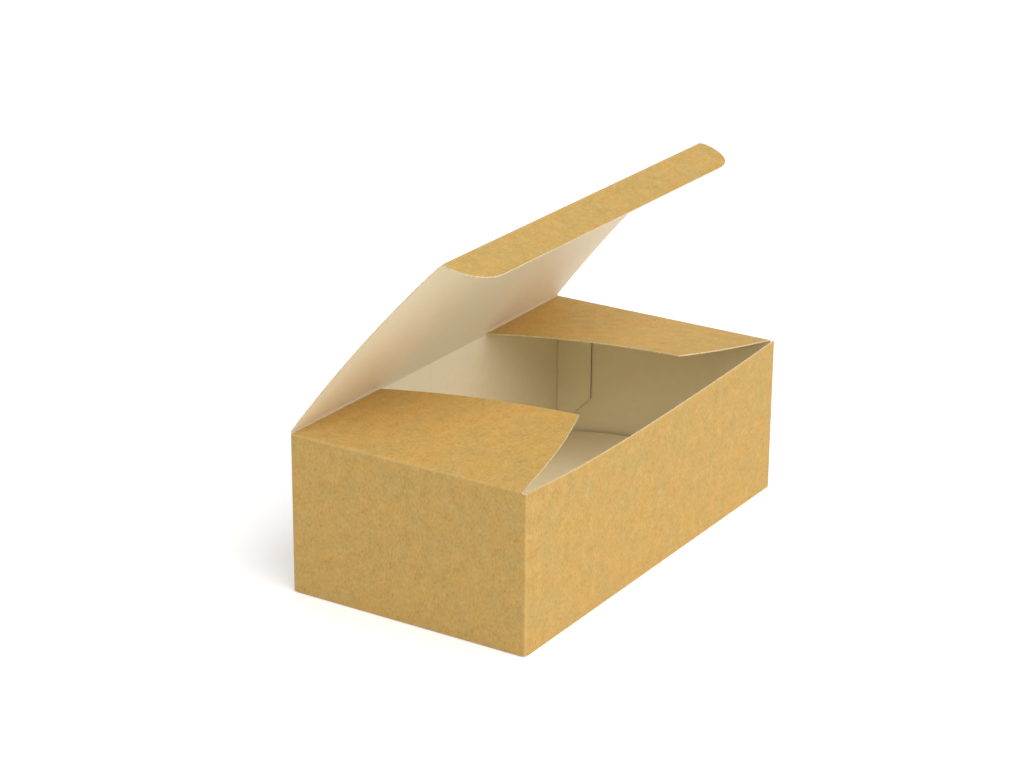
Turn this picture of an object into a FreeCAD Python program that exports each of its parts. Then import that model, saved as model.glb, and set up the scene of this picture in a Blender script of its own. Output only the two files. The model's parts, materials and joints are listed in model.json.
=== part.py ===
import FreeCAD, Part
import math
import os

# A folding takeaway carton, cut from one sheet of board that is kraft brown outside and white
# inside. X runs along the box, Y from the tuck side (minus) to the lid's fold (plus), Z is up.
# The origin lies at the middle of the box's footprint, on the surface that it stands on.

# Driving sizes in millimetres, angles in degrees
box_length = 200.0
box_width = 109.0
box_height = 68.0
board = 0.5

front_bow = 4.0
front_bow_shift = 40.0
bow_peak_share = 0.75

lid_open = 49.0
lid_closed = 5.0
lid_bow = 2.0
lid_setback = 1.0
lid_notch = 1.6

tuck_depth = 18.0
tuck_fold = 63.0
tuck_inset = 1.0
tuck_corner_radius = 12.0

flap_depth = 60.0
flap_fold_drop = 0.05
flap_lid_gap = 0.3
flap_back_inset = 0.7
flap_back_taper = 1.4
flap_front_inset = 2.0
flap_notch_length = 9.0
flap_notch_depth = 1.4
flap_front_taper = 11.5
flap_front_curve = 1.5
flap_stations = 6

tab_width = 18.8
tab_taper = 12.5
tab_foot = 10.3
tab_top_taper = 3.0

floor_step_run = 6.0
floor_step_rise = 2.6
floor_rise = 8.2
floor_overlap = 12.0
floor_notch = 6.0
floor_side_gap = 0.4

# Places worked out from the driving sizes
end_x = box_length / 2
side_y = box_width / 2
lid_depth = box_width - lid_setback
floor_flat_run = side_y - floor_overlap
prism_low = -5.0
prism_high = box_height + lid_depth


def vector(x, y, z):
    return FreeCAD.Vector(x, y, z)


def polygon(points):
    return Part.makePolygon(points + [points[0]])


def prism(points, direction):
    return Part.Face(polygon(points)).extrude(direction)


def plan_prism(points):
    """Everything above and below an outline drawn on the floor."""
    base = [vector(x, y, prism_low) for x, y in points]
    return prism(base, vector(0, 0, prism_high - prism_low))


def smooth_edge(points):
    curve = Part.BSplineCurve()
    curve.interpolate(points)
    return curve.toShape()


def strip_wire(face_edge, offset):
    """A closed ribbon between an edge and its copy, moved by the board's thickness."""
    copy = face_edge.copy()
    copy.translate(offset)
    a, b = face_edge.Vertexes[0].Point, face_edge.Vertexes[-1].Point
    sides = [Part.makeLine(b, b + offset), Part.makeLine(a + offset, a)]
    return Part.Wire([face_edge, sides[0], copy, sides[1]])


def mirrored_end(shape):
    return shape.mirror(vector(0, 0, 0), vector(1, 0, 0))


def turned_half(shape):
    turned = shape.copy()
    turned.rotate(vector(0, 0, 0), vector(0, 0, 1), 180)
    return turned


# The lid's underside is an arc that starts at its fold and rises lid_bow over its chord
def lid_height(distance, angle):
    """Height of the lid's underside above the rim, at a level distance from its fold."""
    radius = (lid_depth ** 2 / 4 + lid_bow ** 2) / (2 * lid_bow)
    along = distance / math.cos(math.radians(angle))
    bulge = math.sqrt(radius ** 2 - (along - lid_depth / 2) ** 2) - (radius - lid_bow)
    return distance * math.tan(math.radians(angle)) + bulge / math.cos(math.radians(angle))


# Walls: two ends and the back stand straight, the front's free edge is bowed outwards
def end_wall():
    return Part.makeBox(board, box_width, box_height, vector(-end_x, -side_y, 0))


def back_wall():
    return Part.makeBox(box_length, board, box_height, vector(-end_x, side_y - board, 0))


def front_wall():
    foot = Part.makeLine(vector(-end_x, -side_y, 0), vector(end_x, -side_y, 0))
    pull_y = -side_y - front_bow / bow_peak_share
    rim = Part.BezierCurve()
    rim.setPoles([
        vector(-end_x, -side_y, box_height),
        vector(-end_x / 3 - front_bow_shift, pull_y, box_height),
        vector(end_x / 3 - front_bow_shift, pull_y, box_height),
        vector(end_x, -side_y, box_height),
    ])
    inward = vector(0, board, 0)
    sections = [strip_wire(foot, inward), strip_wire(rim.toShape(), inward)]
    return Part.makeLoft(sections, True, True)


def glue_tab():
    """The strip on the back wall's end that is glued inside the far end wall."""
    inner_x = end_x - 2 * board
    edge_y = side_y - tab_width
    foot_y = edge_y + tab_taper
    top = box_height - board
    outline = [
        (side_y - board, top),
        (edge_y, top - tab_top_taper),
        (edge_y, tab_foot + tab_taper),
        (foot_y, tab_foot),
        (side_y - board, tab_foot),
    ]
    return prism([vector(inner_x, y, z) for y, z in outline], vector(board, 0, 0))


# Dust flaps: each end flap is folded in and springs up until it nearly meets the closed lid
def dust_flap():
    steps = [step / flap_stations for step in range(flap_stations + 1)]
    stations = [side_y - box_width * step for step in steps]
    free = [vector(-end_x + flap_depth, y, flap_edge_height(y)) for y in stations]
    fold_x = -end_x + board / 2
    fold_z = box_height - flap_fold_drop
    fold = Part.makeLine(vector(fold_x, side_y, fold_z), vector(fold_x, -side_y, fold_z))
    down = vector(0, 0, -board)
    sheet = Part.makeLoft([strip_wire(fold, down), strip_wire(smooth_edge(free), down)], True, True)
    return sheet.common(flap_outline())


def flap_edge_height(y):
    return box_height + lid_height(side_y - y, lid_closed) - flap_lid_gap


def flap_outline():
    fold_x, free_x = -end_x, -end_x + flap_depth
    back_y = side_y - flap_back_inset
    front_y = -side_y + flap_front_inset
    notch = vector(fold_x + flap_notch_length, front_y + flap_notch_depth, prism_low)
    corner = vector(free_x, front_y + flap_front_taper, prism_low)
    middle = (notch + corner) * 0.5 + vector(0, -flap_front_curve, 0)
    points = [
        vector(free_x, back_y - flap_back_taper, prism_low),
        vector(fold_x, back_y, prism_low),
        vector(fold_x, front_y, prism_low),
        notch,
    ]
    edges = [Part.makeLine(a, b) for a, b in zip(points, points[1:])]
    edges.append(Part.Arc(notch, middle, corner).toShape())
    edges.append(Part.makeLine(corner, points[0]))
    return Part.Face(Part.Wire(edges)).extrude(vector(0, 0, prism_high - prism_low))


# Floor: four flaps that lock into a low roof, so the box stands on its lower edges
def floor_profile():
    """Height of the floor's lower face against the distance from the wall it folds from."""
    return [
        (0.0, 0.0),
        (floor_step_run, floor_step_rise),
        (floor_flat_run, floor_rise),
        (side_y + floor_overlap, floor_rise),
    ]


def long_flap():
    """The back wall's floor flap: low at its glued end, two boards higher at its free end."""
    slabs = []
    for (near, low), (far, high) in zip(floor_profile(), floor_profile()[1:]):
        ends = []
        for x, level in ((-end_x, 0.0), (end_x, 2 * board)):
            section = [
                vector(x, side_y - near, low + level),
                vector(x, side_y - far, high + level),
                vector(x, side_y - far, high + level + board),
                vector(x, side_y - near, low + level + board),
            ]
            ends.append(polygon(section))
        slabs.append(Part.makeLoft(ends, True, True))
    sheet = slabs[0].fuse(slabs[1:])
    return sheet.common(plan_prism(long_flap_outline()))


def long_flap_outline():
    seam_y = -floor_overlap
    free_x = end_x - board - floor_side_gap
    crease_x = -end_x + floor_flat_run
    return [
        (-end_x, side_y),
        (crease_x, floor_overlap),
        (crease_x + floor_overlap, seam_y),
        (-floor_notch, seam_y),
        (-floor_notch, 0),
        (floor_notch, 0),
        (floor_notch, seam_y),
        (free_x, seam_y),
        (free_x, side_y),
    ]


def end_sheet(level):
    slabs = []
    for (near, low), (far, high) in zip(floor_profile()[:2], floor_profile()[1:3]):
        section = [
            vector(-end_x + near, -side_y, low + level),
            vector(-end_x + far, -side_y, high + level),
            vector(-end_x + far, -side_y, high + level + board),
            vector(-end_x + near, -side_y, low + level + board),
        ]
        slabs.append(prism(section, vector(0, box_width, 0)))
    return slabs[0].fuse(slabs[1:])


def short_flap():
    """The end wall's floor flap, between the two diagonal creases, one board up."""
    crease_x = -end_x + floor_flat_run
    outline = [(-end_x, -side_y), (crease_x, -floor_overlap), (crease_x, floor_overlap), (-end_x, side_y)]
    return end_sheet(board).common(plan_prism(outline))


def glued_corner():
    """The long flap's corner, folded along the diagonal and glued under the short flap."""
    crease_x = -end_x + floor_flat_run
    wall_x = -end_x + board + floor_side_gap
    outline = [(wall_x, side_y - board), (crease_x, floor_overlap), (wall_x, floor_overlap)]
    return end_sheet(0.0).common(plan_prism(outline))


def carton_body():
    half_floor = [long_flap(), glued_corner(), short_flap()]
    pieces = [back_wall(), front_wall(), end_wall(), mirrored_end(end_wall()), glue_tab()]
    pieces += [dust_flap(), mirrored_end(dust_flap())]
    pieces += half_floor + [turned_half(piece) for piece in half_floor]
    return pieces[0].fuse(pieces[1:])


# Lid and tuck flap are drawn closed, flat on the rim, and then turned to where they rest
def lid_panel():
    fold = vector(-end_x, side_y, box_height)
    tip = vector(-end_x, side_y - lid_depth, box_height)
    under = Part.Arc(fold, (fold + tip) * 0.5 + vector(0, 0, lid_bow), tip).toShape()
    section = Part.Face(strip_wire(under, vector(0, 0, board)))
    panel = section.extrude(vector(box_length, 0, 0)).cut(lid_notches())
    panel.rotate(lid_hinge(), vector(-1, 0, 0), lid_open)
    return panel


def lid_notches():
    """Small reliefs where the tuck flap's fold runs out of the lid's corners."""
    tip_y = side_y - lid_depth
    notch = plan_prism([(-end_x, tip_y), (-end_x + lid_notch, tip_y), (-end_x, tip_y + lid_notch)])
    return notch.fuse(mirrored_end(notch))


def lid_hinge():
    return vector(0, side_y, box_height)


def tuck_hinge():
    """The tuck flap's fold line with the lid at rest."""
    angle = math.radians(lid_open)
    return lid_hinge() + vector(0, -lid_depth * math.cos(angle), lid_depth * math.sin(angle))


def tuck_flap():
    half = end_x - tuck_inset
    fold_y = tuck_hinge().y
    arc_y = fold_y - tuck_depth + tuck_corner_radius
    arc_x = half - tuck_corner_radius
    bulge = tuck_corner_radius * math.sqrt(0.5)
    z = tuck_hinge().z
    right = Part.Arc(
        vector(half, arc_y, z),
        vector(arc_x + bulge, arc_y - bulge, z),
        vector(arc_x, fold_y - tuck_depth, z),
    )
    left = Part.Arc(
        vector(-arc_x, fold_y - tuck_depth, z),
        vector(-arc_x - bulge, arc_y - bulge, z),
        vector(-half, arc_y, z),
    )
    edges = [
        Part.makeLine(vector(-half, fold_y, z), vector(half, fold_y, z)),
        Part.makeLine(vector(half, fold_y, z), vector(half, arc_y, z)),
        right.toShape(),
        Part.makeLine(vector(arc_x, fold_y - tuck_depth, z), vector(-arc_x, fold_y - tuck_depth, z)),
        left.toShape(),
        Part.makeLine(vector(-half, arc_y, z), vector(-half, fold_y, z)),
    ]
    flap = Part.Face(Part.Wire(edges)).extrude(vector(0, 0, board))
    flap.rotate(tuck_hinge(), vector(-1, 0, 0), lid_open - tuck_fold)
    return flap


def single_solid(shape):
    """The sheet as one solid, with the seams between coplanar faces taken out."""
    clean = shape.removeSplitter()
    return clean.Solids[0] if len(clean.Solids) == 1 else clean


nodes = {
    "carton_body": carton_body(),
    "lid_panel": lid_panel(),
    "tuck_flap": tuck_flap(),
}

os.makedirs("parts", exist_ok=True)
for name, shape in nodes.items():
    solid = single_solid(shape)
    solid.exportStep("parts/" + name + ".step")
    print(name, len(solid.Solids), solid.isValid(), round(solid.Volume, 1), solid.BoundBox)
print("tuck hinge", tuck_hinge())
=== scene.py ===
import json
import math

import bmesh
import bpy
from mathutils import Matrix, Vector


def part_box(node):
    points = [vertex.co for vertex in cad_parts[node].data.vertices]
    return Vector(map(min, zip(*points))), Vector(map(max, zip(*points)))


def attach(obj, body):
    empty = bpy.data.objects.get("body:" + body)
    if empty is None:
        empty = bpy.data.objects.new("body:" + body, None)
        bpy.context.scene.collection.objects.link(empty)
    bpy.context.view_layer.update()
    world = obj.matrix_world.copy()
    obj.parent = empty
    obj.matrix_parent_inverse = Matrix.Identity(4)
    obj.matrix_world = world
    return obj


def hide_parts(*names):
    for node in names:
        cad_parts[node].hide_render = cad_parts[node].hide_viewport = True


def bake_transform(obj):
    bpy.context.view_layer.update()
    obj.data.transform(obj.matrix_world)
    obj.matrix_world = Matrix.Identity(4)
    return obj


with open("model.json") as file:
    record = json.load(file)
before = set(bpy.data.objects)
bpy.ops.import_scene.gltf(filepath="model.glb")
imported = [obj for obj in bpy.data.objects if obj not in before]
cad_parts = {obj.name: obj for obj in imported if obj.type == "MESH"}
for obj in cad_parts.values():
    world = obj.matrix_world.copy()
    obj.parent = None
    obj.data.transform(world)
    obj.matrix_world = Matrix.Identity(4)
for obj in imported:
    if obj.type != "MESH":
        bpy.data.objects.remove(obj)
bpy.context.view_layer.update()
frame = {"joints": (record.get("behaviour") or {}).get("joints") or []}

# The view is a product shot over the near corner, from a little above, through a long lens.
# Its angles, distance and lens come from where the box's corners lie in the photograph.
mm = 0.001
view_azimuth = math.radians(-57.8)
view_elevation = math.radians(20.75)
view_roll = math.radians(0.4)
view_distance = 1256 * mm
view_target = Vector((92.8, 73.7, 23.6)) * mm
picture_width = 1024
focal_pixels = 2762

camera = bpy.data.cameras.new("photo_view")
camera.sensor_fit = "HORIZONTAL"
camera.lens = camera.sensor_width * focal_pixels / picture_width
camera.clip_end = 20
back = Vector((
    math.sin(view_azimuth) * math.cos(view_elevation),
    -math.cos(view_azimuth) * math.cos(view_elevation),
    math.sin(view_elevation),
))
level_right = (-back).cross(Vector((0, 0, 1))).normalized()
level_up = back.cross(level_right)
right = math.cos(view_roll) * level_right + math.sin(view_roll) * level_up
up = math.cos(view_roll) * level_up - math.sin(view_roll) * level_right
camera_object = bpy.data.objects.new("photo_view", camera)
axes = Matrix((right, up, back)).transposed().to_4x4()
camera_object.matrix_world = Matrix.Translation(view_target + back * view_distance) @ axes
bpy.context.scene.collection.objects.link(camera_object)
bpy.context.scene.camera = camera_object
bpy.context.scene.view_settings.view_transform = "Standard"


# The stand is a seamless sheet of white card. It takes the box's soft shadow, and the white
# of the picture comes from the card and the sky as the camera sees them, not from more light.
def colour(code):
    """Linear colour from an sRGB hex code."""
    channels = [int(code[i:i + 2], 16) / 255 for i in (1, 3, 5)]
    linear = [c / 12.92 if c <= 0.04045 else ((c + 0.055) / 1.055) ** 2.4 for c in channels]
    return (*linear, 1.0)


def add(tree, kind, inputs=None, **settings):
    """Adds a node; each input is a plain value or the socket that feeds it."""
    node = tree.nodes.new(kind)
    for key, value in settings.items():
        setattr(node, key, value)
    for key, value in (inputs or {}).items():
        if isinstance(value, bpy.types.NodeSocket):
            tree.links.new(value, node.inputs[key])
        else:
            node.inputs[key].default_value = value
    return node


def seen_directly(tree):
    """1 where the camera, a reflection or a view through glass meets the surface."""
    path = add(tree, "ShaderNodeLightPath")
    seen = path.outputs["Is Camera Ray"]
    for ray in ("Is Glossy Ray", "Is Transmission Ray"):
        pair = {0: seen, 1: path.outputs[ray]}
        seen = add(tree, "ShaderNodeMath", pair, operation="MAXIMUM").outputs[0]
    return seen


floor_half = 4.0
floor_white = colour("#F3F4F6")
floor_lift = 0.26
sky_strength = 0.55
# Each lamp has a strength, a tint, the direction it shines from and a softness in degrees.
lamps = {
    "key": (1.14, "#FFFDFA", (-0.46, -0.53, 0.71), 40),
    "front": (0.76, "#FFFFF4", (0.10, -0.60, 0.79), 40),
    "fill": (0.60, "#EEE8FF", (0.00, -0.95, 0.30), 50),
}

floor_bm = bmesh.new()
bmesh.ops.create_grid(floor_bm, x_segments=1, y_segments=1, size=floor_half)
floor_mesh = bpy.data.meshes.new("white_card")
floor_bm.to_mesh(floor_mesh)
floor_bm.free()
floor = bpy.data.objects.new("white_card", floor_mesh)
bpy.context.scene.collection.objects.link(floor)
card = bpy.data.materials.new("white_card")
card.use_nodes = True
tree = card.node_tree
tree.nodes.clear()
matt = add(tree, "ShaderNodeBsdfDiffuse", {"Color": floor_white})
lift = add(tree, "ShaderNodeMath", {0: seen_directly(tree), 1: floor_lift}, operation="MULTIPLY")
glow = add(tree, "ShaderNodeEmission", {"Strength": lift.outputs[0]})
both = add(tree, "ShaderNodeAddShader", {0: matt.outputs[0], 1: glow.outputs[0]})
add(tree, "ShaderNodeOutputMaterial", {"Surface": both.outputs[0]})
floor_mesh.materials.append(card)

sky = bpy.data.worlds.new("studio_sky")
bpy.context.scene.world = sky
sky.use_nodes = True
tree = sky.node_tree
tree.nodes.clear()
strength = add(tree, "ShaderNodeMapRange", {
    "Value": seen_directly(tree), "To Min": sky_strength, "To Max": 1.0,
})
light = add(tree, "ShaderNodeBackground", {
    "Color": (1.0, 1.0, 1.0, 1.0), "Strength": strength.outputs[0],
})
add(tree, "ShaderNodeOutputWorld", {"Surface": light.outputs[0]})

for name, (energy, tint, direction, softness) in lamps.items():
    lamp = bpy.data.lights.new(name, "SUN")
    lamp.energy = energy
    lamp.color = colour(tint)[:3]
    lamp.angle = math.radians(softness)
    lamp_object = bpy.data.objects.new(name, lamp)
    lamp_object.rotation_euler = Vector(direction).to_track_quat("Z", "Y").to_euler()
    bpy.context.scene.collection.objects.link(lamp_object)


# Kraft board, the outside of the sheet: unbleached long-fibre pulp, calendered but uncoated.
# The eye sees soft clouds, short fibres that lie along the sheet, dark specks and a dull sheen.
joints = {joint["name"]: joint for joint in frame["joints"]}
lid_fold = Vector(joints["lid_fold"]["pos_m"])
tuck_fold = Vector(joints["tuck_fold"]["pos_m"])
half_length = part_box("carton_body")[1].x
half_width = lid_fold.y
height = lid_fold.z
lid_depth = (tuck_fold - lid_fold).yz.length
lid_open = math.atan2(tuck_fold.z - lid_fold.z, lid_fold.y - tuck_fold.y)
upright_folds = [
    half_length,
    -half_length,
    -half_length - 2 * half_width,
    -3 * half_length - 2 * half_width,
]
level_folds = [0.0, height, height + lid_depth]

# Single fibres are a few hundredths of a millimetre thick, too fine to show. They are drawn
# coarser, as the small tufts that they gather into.
cloud_size = 14 * mm
blotch_size = 4.5 * mm
fibre_width = 0.90 * mm
fibre_stretch = 1.9
speck_size = 1.1 * mm
noise_roughness = 0.6
bump_strength = 0.6
crease_width = 0.9 * mm
crease_wander = -0.7 * mm
kraft_tan = colour("#C8A25D")
kraft_grey = colour("#C1A261")
kraft_light = colour("#D8B477")
kraft_dark = colour("#AE884A")
kraft_speck = colour("#86663A")
kraft_crease = colour("#DCBC83")


def mottle(tree, size, detail, stretch=1.0, seed=0.0):
    """An uneven pattern laid out on the flat sheet, so that it runs on over the folds."""
    place = add(tree, "ShaderNodeUVMap", uv_map="sheet")
    spread = add(tree, "ShaderNodeMapping", {
        "Vector": place.outputs[0], "Location": (seed, seed, 0), "Scale": (1, 1 / stretch, 1),
    })
    return add(tree, "ShaderNodeTexNoise", {
        "Vector": spread.outputs[0], "Scale": 1 / size, "Detail": detail,
        "Roughness": noise_roughness,
    }).outputs[0]


def stain(tree, base, tone, pattern, low, high, share):
    """Lays a tone over the base, from none of it where the pattern is low to its share."""
    amount = add(tree, "ShaderNodeMapRange", {
        "Value": pattern, "From Min": low, "From Max": high, "To Max": share,
    }, interpolation_type="SMOOTHSTEP")
    both = {0: amount.outputs[0], 6: base, 7: tone}
    return add(tree, "ShaderNodeMix", both, data_type="RGBA").outputs[2]


def fold_distance(tree, wander):
    """How far a point of the flat sheet is from the nearest fold, in metres, plus a wander."""
    place = add(tree, "ShaderNodeUVMap", uv_map="sheet")
    split = add(tree, "ShaderNodeSeparateXYZ", {0: place.outputs[0]})
    lines = [(split.outputs[1], row) for row in level_folds]
    lines += [(split.outputs[0], start) for start in upright_folds]
    nearest = 1.0
    for socket, line in lines:
        away = add(tree, "ShaderNodeMath", {0: socket, 1: line}, operation="SUBTRACT")
        away = add(tree, "ShaderNodeMath", {0: away.outputs[0]}, operation="ABSOLUTE")
        pair = {0: away.outputs[0], 1: nearest}
        nearest = add(tree, "ShaderNodeMath", pair, operation="MINIMUM").outputs[0]
    part = {0: wander, 1: crease_wander, 2: nearest}
    return add(tree, "ShaderNodeMath", part, operation="MULTIPLY_ADD").outputs[0]


def surface(tree, base, rough, sheen, grain, grain_depth):
    """A dull board surface; grain_depth is the height of its bumps."""
    bump = add(tree, "ShaderNodeBump", {
        "Height": grain, "Distance": grain_depth, "Strength": bump_strength,
    })
    skin = add(tree, "ShaderNodeBsdfPrincipled", {
        "Base Color": base, "Roughness": rough, "Specular IOR Level": sheen,
        "Normal": bump.outputs[0],
    })
    add(tree, "ShaderNodeOutputMaterial", {"Surface": skin.outputs[0]})


kraft = bpy.data.materials.new("kraft_board_uncoated")
kraft.use_nodes = True
tree = kraft.node_tree
tree.nodes.clear()
clouds = mottle(tree, cloud_size, detail=3, seed=0.3)
blotches = mottle(tree, blotch_size, detail=4, stretch=1.4, seed=1.7)
fibres = mottle(tree, fibre_width, detail=3, stretch=fibre_stretch, seed=4.1)
specks = mottle(tree, speck_size, detail=2, stretch=1.5, seed=7.9)
creases = fold_distance(tree, blotches)
base = kraft_tan
for tone, pattern, low, high, share in (
    (kraft_grey, clouds, 0.40, 0.62, 1.00),
    (kraft_light, blotches, 0.50, 0.70, 0.34),
    (kraft_dark, blotches, 0.50, 0.30, 0.30),
    (kraft_light, fibres, 0.50, 0.72, 0.45),
    (kraft_dark, fibres, 0.50, 0.28, 0.45),
    (kraft_speck, specks, 0.63, 0.74, 0.50),
    (kraft_crease, creases, crease_width, 0.0, 0.20),
):
    base = stain(tree, base, tone, pattern, low, high, share)
surface(tree, base, rough=0.6, sheen=0.06, grain=fibres, grain_depth=0.05 * mm)


# The inside of the sheet is the same board with a smooth, creamy white top ply. It shows hardly any
# fibre, only a faint unevenness, and a grey line along each fold, partly where the fold has crushed
# the ply and partly painted shade in the crease.
ply_white = colour("#F9EDCE")
ply_shade = colour("#F6EAC9")
ply_crease_and_shade = colour("#D9CAA6")

white_ply = bpy.data.materials.new("white_top_ply")
white_ply.use_nodes = True
tree = white_ply.node_tree
tree.nodes.clear()
unevenness = mottle(tree, blotch_size, detail=3, seed=2.2)
creases = fold_distance(tree, unevenness)
base = stain(tree, ply_white, ply_shade, unevenness, low=0.3, high=0.7, share=1.0)
# The grey line along the folds is partly crushed ply and partly painted shade.
base = stain(tree, base, ply_crease_and_shade, creases, low=crease_width, high=0.0, share=0.8)
surface(tree, base, rough=0.5, sheen=0.4, grain=unevenness, grain_depth=0.02 * mm)


# The cut edge shows the middle of the board, short pulp that the cutting knife has laid open. Its
# pale tone is partly that pulp and partly painted highlight, for the light that the thin edges
# catch, so it is lighter than the kraft face. It has no sheen.
pulp_pale_and_highlight = colour("#EADAB6")
pulp_brown = colour("#D6BF93")

cut_edge_pulp_and_highlight = bpy.data.materials.new("cut_edge_painted_highlight")
cut_edge_pulp_and_highlight.use_nodes = True
tree = cut_edge_pulp_and_highlight.node_tree
tree.nodes.clear()
ragged = mottle(tree, fibre_width, detail=3, seed=5.5)
# The pale tone is partly painted highlight.
base = stain(tree, pulp_pale_and_highlight, pulp_brown, ragged, low=0.35, high=0.65, share=1.0)
surface(tree, base, rough=0.8, sheen=0.1, grain=ragged, grain_depth=0.05 * mm)


# The glue tab's cut edge is coloured dark brown as painted shade, for the shadow that lies along
# the tab's outline. The eye sees that outline as a thin brown line.
tab_edge_shade_pale = colour("#8F7646")
tab_edge_shade_brown = colour("#7A6138")

shaded_tab_edge = bpy.data.materials.new("tab_edge_painted_shade")
shaded_tab_edge.use_nodes = True
tree = shaded_tab_edge.node_tree
tree.nodes.clear()
tab_edge_mottle = mottle(tree, fibre_width, detail=3, seed=6.4)
base = stain(tree, tab_edge_shade_pale, tab_edge_shade_brown, tab_edge_mottle, low=0.35, high=0.65, share=1.0)
surface(tree, base, rough=0.5, sheen=0.4, grain=tab_edge_mottle, grain_depth=0.05 * mm)


# The carton body is one sheet of half-millimetre board, creased and wrapped round in a ring. The
# back wall's end turns the corner as a glue tab inside the far end wall, whose own raw edge stops
# just short of that corner.
board = 0.5 * mm
corner_radius = 0.8 * mm
corner_segments = 4
fold_radius = 0.75 * mm
raw_edge_gap = 0.45 * mm
glue_line = 0.30 * mm
tab_width = 18.8 * mm
tab_taper = 12.5 * mm
tab_foot = 10.3 * mm
tab_head = 1.5 * mm
tab_head_taper = 3.0 * mm
flap_drop = 0.05 * mm
lid_root = 1.0 * mm
fold_support = 1.2 * mm
wall_grid = 5.0 * mm
front_bow = 4.0 * mm
bow_shift = 40.0 * mm
bow_halvings = 40
touch = 1e-6
panels = ["walls", "tab", "near_dust", "far_dust", "back_floor", "front_floor", "near_floor",
          "far_floor", "back_glued", "front_glued", "lid", "tuck"]


def each_once(parts):
    """The parts in their own order, each of them once."""
    return list(dict.fromkeys(parts))


def name_new_faces(bm, known, panel):
    label = bm.faces.layers.int.verify()
    for face in bm.faces:
        if face not in known:
            face[label] = panels.index(panel)


def pull(bm, edges, step, panel):
    """Extrudes a row of open edges by one step and returns the new row."""
    known = set(bm.faces)
    grown = bmesh.ops.extrude_edge_only(bm, edges=edges)["geom"]
    row = each_once(part for part in grown if isinstance(part, bmesh.types.BMVert))
    bmesh.ops.translate(bm, verts=row, vec=step)
    name_new_faces(bm, known, panel)
    return [part for part in grown
            if isinstance(part, bmesh.types.BMEdge) and all(vert in row for vert in part.verts)]


def fold(bm, edges, centre, axis, angle, panel, steps=5):
    """Spins a row of open edges round a fold and returns the new row."""
    known = set(bm.faces)
    turned = bmesh.ops.spin(
        bm, geom=edges, cent=centre, axis=axis, dvec=(0, 0, 0), angle=angle, steps=steps,
        use_merge=False, use_normal_flip=False, use_duplicate=False,
    )["geom_last"]
    name_new_faces(bm, known, panel)
    return [part for part in turned if isinstance(part, bmesh.types.BMEdge)]


def panel_faces(bm, panel):
    label = bm.faces.layers.int.verify()
    return [face for face in bm.faces if face[label] == panels.index(panel)]


def panel_verts(bm, panel):
    return each_once(vert for face in panel_faces(bm, panel) for vert in face.verts)


def row_verts(row):
    return each_once(vert for edge in row for vert in edge.verts)


def slice_panel(bm, panel, point, normal, drop=False, within=None):
    """Cuts a panel along a plane and, if drop is set, takes away what lies beyond it."""
    faces = panel_faces(bm, panel)
    if within:
        faces = [face for face in faces if within(face.calc_center_median())]
    edges = each_once(edge for face in faces for edge in face.edges)
    verts = each_once(vert for face in faces for vert in face.verts)
    bmesh.ops.bisect_plane(
        bm, geom=faces + edges + verts, dist=touch,
        plane_co=point, plane_no=normal, clear_outer=False, clear_inner=False,
    )
    if drop:
        beyond = [face for face in panel_faces(bm, panel)
                  if (face.calc_center_median() - Vector(point)).dot(Vector(normal)) > 0
                  and (not within or within(face.calc_center_median()))]
        bmesh.ops.delete(bm, geom=beyond, context="FACES")


def slice_even(bm, panel, start, end, normal, spacing):
    """Cuts a panel into even strips between two places."""
    count = max(1, round((end - start) / spacing))
    for step in range(1, count):
        place = start + (end - start) * step / count
        slice_panel(bm, panel, Vector(normal) * place, normal)


def open_row(bm, wanted):
    """The open edges whose two ends both pass a test."""
    return [edge for edge in bm.edges if edge.is_boundary and all(wanted(v.co) for v in edge.verts)]


body = bmesh.new()
label = body.faces.layers.int.verify()
tab_x = half_length - board - glue_line
ring = [
    (half_length, half_width - raw_edge_gap),
    (half_length, -half_width),
    (-half_length, -half_width),
    (-half_length, half_width),
    (tab_x, half_width),
    (tab_x, half_width - tab_width),
]
posts = [body.verts.new((x, y, fold_radius)) for x, y in ring]
foot = [body.edges.new(pair) for pair in zip(posts, posts[1:])]
pull(body, foot, Vector((0, 0, height - fold_radius)), "walls")
uprights = [edge for edge in body.edges
            if edge.is_manifold and abs(edge.verts[0].co.z - edge.verts[1].co.z) > height / 2]
bmesh.ops.bevel(
    body, geom=uprights, offset=corner_radius, offset_type="OFFSET", affect="EDGES",
    segments=corner_segments, profile=0.5, material=-1, clamp_overlap=True,
)
for face in body.faces:
    if abs(face.calc_center_median().x - tab_x) < touch:
        face[label] = panels.index("tab")
slice_even(body, "walls", -half_length, half_length, (1, 0, 0), wall_grid)
slice_even(body, "walls", -half_width, half_width, (0, 1, 0), wall_grid)
slice_even(body, "walls", fold_radius, height, (0, 0, 1), wall_grid)
for place in (fold_radius + fold_support, height - fold_radius - fold_support):
    slice_panel(body, "walls", (0, 0, place), (0, 0, 1))
for side in (-1, 1):
    inset = corner_radius + fold_support
    slice_panel(body, "walls", (side * (half_length - inset), 0, 0), (1, 0, 0))
    slice_panel(body, "walls", (0, side * (half_width - inset), 0), (0, 1, 0))
slice_panel(body, "tab", (0, half_width - corner_radius - fold_support, 0), (0, 1, 0))
slice_panel(body, "tab", (0, 0, tab_foot), (0, 0, -1), drop=True)
slice_panel(body, "tab", (0, half_width - tab_width, tab_foot + tab_taper), (0, -1, -1), drop=True)
tab_slope = (0, -tab_head_taper, tab_width)
slice_panel(body, "tab", (0, half_width, height - tab_head), tab_slope, drop=True)

# The rims of the walls differ. The front is cut at full height and bows out between the ends,
# the back ends under the lid's fold, and the ends stop where the dust flaps fold over.
for vert in body.verts:
    if vert.co.z > height - touch:
        if half_length - abs(vert.co.x) < corner_radius - touch and vert.co.y < half_width - touch:
            vert.co.z = height - flap_drop - fold_radius
        elif vert.co.y > 0:
            vert.co.z = height - lid_root


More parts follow.
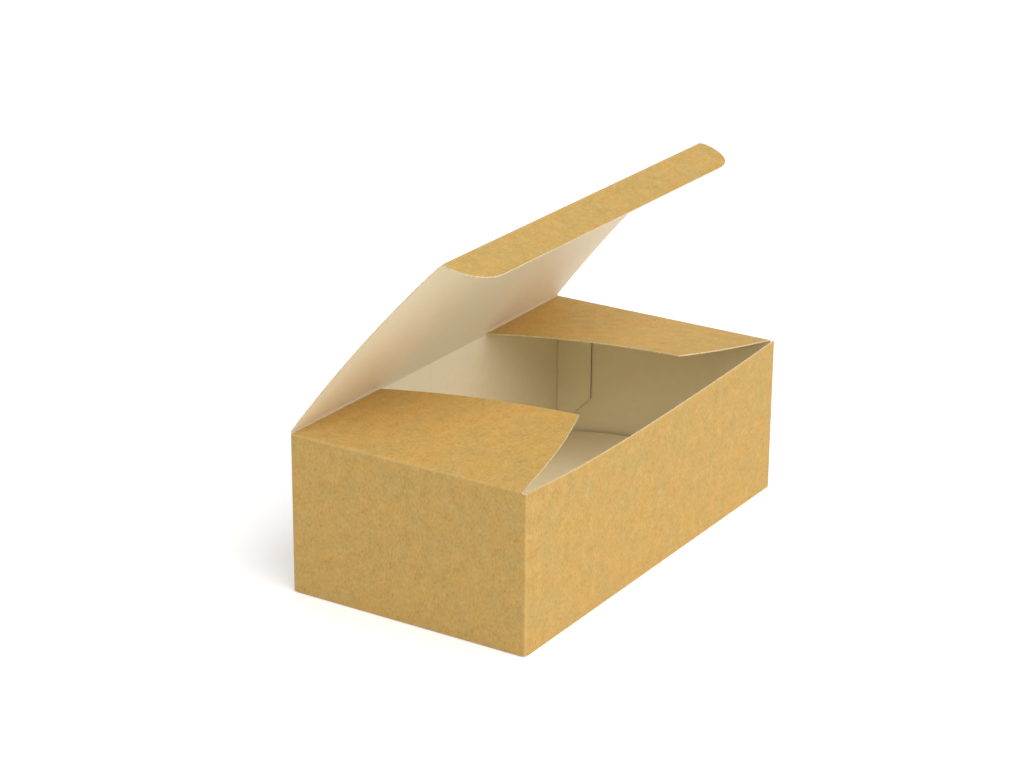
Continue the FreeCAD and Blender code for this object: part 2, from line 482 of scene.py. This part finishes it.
def rim_bow(x):
    """How far the free edge of the front wall bows out, along a smooth cubic curve.

    Its two middle points are shifted along the wall; halving finds the curve's place for x."""
    first, second = -half_length / 3 - bow_shift, half_length / 3 - bow_shift
    low, high = 0.0, 1.0
    for halving in range(bow_halvings):
        t = (low + high) / 2
        at = (half_length * (t ** 3 - (1 - t) ** 3)
              + 3 * t * (1 - t) * (first * (1 - t) + second * t))
        low, high = (t, high) if at < x else (low, t)
    return 4 * front_bow * t * (1 - t)


for vert in body.verts:
    if vert.co.y < -half_width + touch:
        vert.co.y -= rim_bow(vert.co.x) * (vert.co.z - fold_radius) / (height - fold_radius)


# The dust flaps are folded in from the end walls and spring up again by a few degrees, until
# they just clear the closed lid. Their fronts slant back, with a small relief beside the fold.
flap_depth = 60.0 * mm
flap_grid = 4.0 * mm
flap_back_inset = 0.7 * mm
flap_back_taper = 0.6 * mm
flap_front_inset = 2.0 * mm
flap_notch_length = 9.0 * mm
flap_notch_depth = 1.4 * mm
flap_front_taper = 11.5 * mm
flap_front_curve = 1.5 * mm
flap_curve_steps = 8
flap_clearance = 0.3 * mm
lid_bow = 2.0 * mm
lid_closed = lid_open + math.radians(joints["lid_fold"]["range_deg"][0])
lid_arc_radius = (lid_depth ** 2 / 4 + lid_bow ** 2) / (2 * lid_bow)


def flap_lift(y):
    """How high the flap's free edge stands, just under the closed lid."""
    away = half_width - y
    along = away / math.cos(lid_closed)
    bulge = math.sqrt(lid_arc_radius ** 2 - (along - lid_depth / 2) ** 2) - lid_arc_radius + lid_bow
    rise = away * math.tan(lid_closed) + bulge / math.cos(lid_closed)
    return rise - flap_clearance


for panel, side in (("near_dust", -1), ("far_dust", 1)):
    spring = height - flap_drop - fold_radius
    row = open_row(body, lambda co: abs(co.x - side * half_length) < touch
                   and abs(co.z - spring) < touch)
    centre = (side * (half_length - fold_radius), 0, spring)
    row = fold(body, row, centre, (0, -side, 0), math.pi / 2, panel)
    row = pull(body, row, Vector((-side * fold_support, 0, 0)), panel)
    flat = flap_depth - fold_radius - fold_support
    count = round(flat / flap_grid)
    for step in range(count):
        row = pull(body, row, Vector((-side * flat / count, 0, 0)), panel)

    def on_flap(away, y):
        return Vector((side * (half_length - away), y, 0))

    front_y = -half_width + flap_front_inset
    back_y = half_width - flap_back_inset
    notch = on_flap(flap_notch_length, front_y + flap_notch_depth)
    corner = on_flap(flap_depth, front_y + flap_front_taper)
    bend = (notch + corner) / 2 - Vector((0, 2 * flap_front_curve, 0))
    outline = [on_flap(0, front_y), notch]
    for step in range(1, flap_curve_steps + 1):
        t = step / flap_curve_steps
        outline.append(notch * (1 - t) ** 2 + bend * 2 * t * (1 - t) + corner * t ** 2)
    for place in outline:
        slice_panel(body, panel, place, (1, 0, 0))
    for start, end in zip(outline, outline[1:]):
        span = sorted((start.x, end.x))
        across = end - start
        slice_panel(body, panel, start, Vector((across.y, -across.x, 0)) * -side, drop=True,
                    within=lambda co: span[0] < co.x < span[1])
    tail = on_flap(flap_depth, back_y - flap_back_taper) - on_flap(0, back_y)
    slice_panel(body, panel, on_flap(0, back_y), Vector((-tail.y, tail.x, 0)) * -side, drop=True)
    for vert in panel_verts(body, panel):
        away = half_length - abs(vert.co.x) - fold_radius
        if away > 0:
            vert.co.z += flap_lift(vert.co.y) * away / (flap_depth - fold_radius)


# The floor is an automatic lock: two long flaps and two short ones, folded up into a low roof.
# Each long flap carries a corner that is folded on the diagonal and glued under a short flap.
# The rise and the crown are pairs of millimetres: how far in from the wall, and how high.
floor_turn = math.radians(115)
floor_rise = [(3.0, 1.0), (6.0, 2.4), (12.0, 4.2), (20.0, 5.6), (30.0, 6.8), (42.5, 7.8)]
floor_crown = [(48.0, 8.1), (54.5, 8.2), (60.0, 8.2), (66.5, 8.2)]
floor_overlap = 12.0 * mm
floor_notch = 6.0 * mm
floor_gap = 2.6 * mm
short_inset = 1.5 * mm
corner_gap = 2.0 * mm
lap = board + 0.05 * mm
long_lap_run = 6.0 * mm
short_lap_run = 3.0 * mm
crease_run = floor_rise[-1][0] * mm


def smooth_step(value, low, high):
    t = min(1.0, max(0.0, (value - low) / (high - low)))
    return t * t * (3 - 2 * t)


def floor_flap(panel, row, inward, profile):
    """Folds a wall's foot inwards and carries on along the floor's rise."""
    start = row[0].verts[0].co
    hinge = Vector((start.x, start.y, fold_radius)) + inward * fold_radius
    row = fold(body, row, hinge, Vector((0, 0, 1)).cross(inward), -floor_turn, panel)
    run = fold_radius * (1 - math.cos(floor_turn))
    rise = fold_radius * (1 - math.sin(floor_turn))
    for away, level in profile:
        step = inward * (away * mm - run) + Vector((0, 0, level * mm - rise))
        row = pull(body, row, step, panel)
        run, rise = away * mm, level * mm


for panel, glued, side in (("back_floor", "back_glued", 1), ("front_floor", "front_glued", -1)):
    row = open_row(body, lambda co: abs(co.y - side * half_width) < touch
                   and abs(co.z - fold_radius) < touch)
    floor_flap(panel, row, Vector((0, -side, 0)), floor_rise + floor_crown)
    post = Vector((-side * half_length, side * half_width, 0))
    diagonal = Vector((-side, -side, 0))
    crease_end = Vector((-side * (half_length - crease_run), side * floor_overlap, 0))
    slice_panel(body, panel, post, diagonal, drop=True,
                within=lambda co: side * co.y > floor_overlap)
    slice_panel(body, panel, crease_end, Vector((-2 * side, -side, 0)), drop=True,
                within=lambda co: side * co.y < floor_overlap)
    slice_panel(body, panel, (side * (half_length - floor_gap), 0, 0), (side, 0, 0), drop=True)
    for place in (-floor_notch, floor_notch):
        slice_panel(body, panel, (place, 0, 0), (1, 0, 0))
    slice_panel(body, panel, (0, 0, 0), (0, -side, 0), drop=True,
                within=lambda co: abs(co.x) < floor_notch)
    crease = open_row(body, lambda co: abs((co - post).dot(diagonal)) < 10 * touch
                      and side * co.y > floor_overlap - touch)
    pull(body, crease, Vector((0, -side * crease_run, 0)), glued)
    slice_panel(body, glued, (0, side * floor_overlap, 0), (0, -side, 0), drop=True)
    slice_panel(body, glued, (-side * (half_length - corner_gap), 0, 0), (-side, 0, 0), drop=True)
    for vert in panel_verts(body, panel):
        along, away = side * vert.co.x, half_width - side * vert.co.y
        laps = smooth_step(along, -floor_notch, floor_notch)
        laps += smooth_step(along, 2 * floor_notch, half_length - crease_run)
        vert.co.z += lap * laps * smooth_step(away, 0, long_lap_run)

for panel, side in (("near_floor", -1), ("far_floor", 1)):
    row = open_row(body, lambda co: abs(co.x - side * half_length) < touch
                   and abs(co.z - fold_radius) < touch)
    floor_flap(panel, row, Vector((-side, 0, 0)), floor_rise)
    for half in (-1, 1):
        post = Vector((side * half_length, half * (half_width - short_inset), 0))
        slice_panel(body, panel, post, Vector((-side, half, 0)), drop=True)
    for vert in panel_verts(body, panel):
        away = half_length - side * vert.co.x
        vert.co.z += lap * smooth_step(away, 0, short_lap_run)


# The flat blank is one picture of the board: every panel is laid out from its folds, so that the
# fibres run on over a fold as they do on the real sheet.
def face_out(bm):
    """Merges doubles and turns the kraft side of every panel away from the food space."""
    bmesh.ops.remove_doubles(bm, verts=bm.verts, dist=touch)
    bmesh.ops.recalc_face_normals(bm, faces=bm.faces)
    middle = Vector((0, 0, height / 2))
    outward_area = sum(
        face.calc_area() * face.normal.dot(face.calc_center_median() - middle)
        for face in bm.faces
    )
    if outward_area < 0:
        bmesh.ops.reverse_faces(bm, faces=bm.faces)
    for face in bm.faces:
        face.smooth = True
    for edge in bm.edges:
        edge.smooth = not edge.is_boundary


def finish_sheet(bm, name, place_of):
    """Makes the object: kraft outside, white inside, the cut edge all round.

    The three materials stand in the order face, inside, edge, once more for the glue tab."""
    sheet = bm.loops.layers.uv.new("sheet")
    label = bm.faces.layers.int.verify()
    for face in bm.faces:
        for loop in face.loops:
            place = place_of(panels[face[label]], face.calc_center_median(), loop.vert.co)
            loop[sheet].uv = place
        face.material_index = 3 if panels[face[label]] == "tab" else 0
    mesh = bpy.data.meshes.new(name)
    bm.to_mesh(mesh)
    bm.free()
    # The last of these is the glue tab's edge, coloured dark as painted shade; the other cut edge
    # is pale, partly as painted highlight.
    for material in (kraft, white_ply, cut_edge_pulp_and_highlight, kraft, white_ply, shaded_tab_edge):
        mesh.materials.append(material)
    piece = bpy.data.objects.new(name, mesh)
    bpy.context.scene.collection.objects.link(piece)
    wall = piece.modifiers.new("board", "SOLIDIFY")
    wall.thickness = board
    wall.offset = -1
    wall.use_even_offset = True
    wall.material_offset = 1
    wall.material_offset_rim = 2
    return piece


def carton_place(panel, middle, co):
    """Where a point of the carton lies on the flat blank."""
    front, back = co.x, -2 * half_length - 2 * half_width - co.x
    far = half_length + half_width + co.y
    near = -half_length - half_width - co.y
    if panel == "near_dust":
        return near, height + half_length + co.x
    if panel == "far_dust":
        return far, height + half_length - co.x
    if panel in ("front_floor", "front_glued"):
        return front, -half_width - co.y
    if panel in ("back_floor", "back_glued"):
        return back, co.y - half_width
    if panel == "near_floor":
        return near, -half_length - co.x
    if panel == "far_floor":
        return far, co.x - half_length
    if panel == "tab":
        return back - half_width + co.y, co.z
    if middle.y > half_width - corner_radius / 2:
        return back, co.z
    if middle.x > half_length - corner_radius / 2:
        return far, co.z
    if middle.x < -half_length + corner_radius / 2:
        return near, co.z
    return front, co.z


face_out(body)
carton = finish_sheet(body, "carton", carton_place)
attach(carton, "carton")
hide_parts("carton_body")


# The lid is the back wall's upper panel. The crease holds it half open, and the board's curl bows
# it outwards a little.
lid_half = half_length - 0.5 * mm
lid_step = 4.0 * mm
crease_radius = 1.1 * mm
crease_steps = 6
root_steps = 3
tuck_root = 2.4 * mm
tuck_radius = 0.9 * mm
tuck_angle = lid_open - math.radians(joints["tuck_fold"]["range_deg"][1])


def outward(angle):
    """Where the kraft side faces while the sheet climbs towards the front at this angle."""
    return Vector((0, math.sin(angle), math.cos(angle)))


def onward(angle):
    return Vector((0, -math.cos(angle), math.sin(angle)))


kraft_radius = lid_arc_radius + board
arc_centre = (lid_fold + tuck_fold) / 2 - outward(lid_open) * (lid_arc_radius - lid_bow)
crease_to_arc = kraft_radius - crease_radius
crease_angle = math.asin((half_width - crease_radius - arc_centre.y) / crease_to_arc)
crease_centre = arc_centre + outward(crease_angle) * crease_to_arc
tuck_to_arc = kraft_radius - tuck_radius
reach = board - tuck_radius - (arc_centre - tuck_fold).dot(outward(tuck_angle))
tuck_start = tuck_angle + math.acos(reach / tuck_to_arc)
tuck_centre = arc_centre + outward(tuck_start) * tuck_to_arc
root_angle = tuck_start + tuck_root / kraft_radius


def bend(bm, row, centre, start, end, panel, steps):
    """Carries a row of the sheet round a centre, from one climbing angle to a lower one."""
    return fold(bm, row, centre, (1, 0, 0), start - end, panel, steps)


def chord_place(panel, middle, co):
    """Where a point of the lid or the tuck flap lies on the flat blank."""
    across = -2 * half_length - 2 * half_width - co.x
    if panel == "tuck":
        return across, height + lid_depth + (co - tuck_fold).dot(onward(tuck_angle))
    return across, height + (co - lid_fold).dot(onward(lid_open))


lid_bm = bmesh.new()
ends = [lid_bm.verts.new((x, half_width, height - lid_root)) for x in (-lid_half, lid_half)]
row = [lid_bm.edges.new(ends)]
straight = crease_centre.z - (height - lid_root)
for step in range(root_steps):
    row = pull(lid_bm, row, Vector((0, 0, straight / root_steps)), "lid")
row = bend(lid_bm, row, crease_centre, math.pi / 2, crease_angle, "lid", crease_steps)
rest_angle = crease_angle - fold_support / kraft_radius
row = bend(lid_bm, row, arc_centre, crease_angle, rest_angle, "lid", 1)
steps = round((rest_angle - root_angle) * kraft_radius / lid_step)
bend(lid_bm, row, arc_centre, rest_angle, root_angle, "lid", steps)
face_out(lid_bm)
lid = finish_sheet(lid_bm, "lid", chord_place)
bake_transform(lid)
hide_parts("lid_panel")


# The tuck flap is the last panel of the sheet, folded down from the lid's free edge. It is a
# little narrower than the lid, with round corners, and its crease ends in two small cuts.
tuck_depth = 18.0 * mm
tuck_half = half_length - 1.2 * mm
tuck_corner = 14.5 * mm
tuck_corner_segments = 10
tuck_cut = 1.6 * mm

tuck_bm = bmesh.new()
first = arc_centre + outward(root_angle) * kraft_radius
ends = [tuck_bm.verts.new((x, first.y, first.z)) for x in (-lid_half, lid_half)]
row = [tuck_bm.edges.new(ends)]
cut_angle = tuck_start + tuck_cut / kraft_radius
row = bend(tuck_bm, row, arc_centre, root_angle, cut_angle, "lid", 1)
row = bend(tuck_bm, row, arc_centre, cut_angle, tuck_start, "lid", 1)


def spread(row, half):
    """Brings the two ends of a row to a new half width."""
    for vert in row_verts(row):
        vert.co.x = math.copysign(half, vert.co.x)


spread(row, lid_half - tuck_cut)
row = bend(tuck_bm, row, tuck_centre, tuck_start, tuck_angle, "tuck", crease_steps)
row = pull(tuck_bm, row, onward(tuck_angle) * fold_support, "tuck")
spread(row, tuck_half)
bent_to = row[0].verts[0].co - tuck_fold
left = tuck_depth - bent_to.dot(onward(tuck_angle))
row = pull(tuck_bm, row, onward(tuck_angle) * left, "tuck")
bmesh.ops.bevel(
    tuck_bm, geom=row_verts(row), offset=tuck_corner, offset_type="OFFSET", affect="VERTICES",
    segments=tuck_corner_segments, profile=0.5, material=-1, clamp_overlap=True,
)
face_out(tuck_bm)
tuck = finish_sheet(tuck_bm, "tuck", chord_place)
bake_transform(tuck)
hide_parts("tuck_flap")
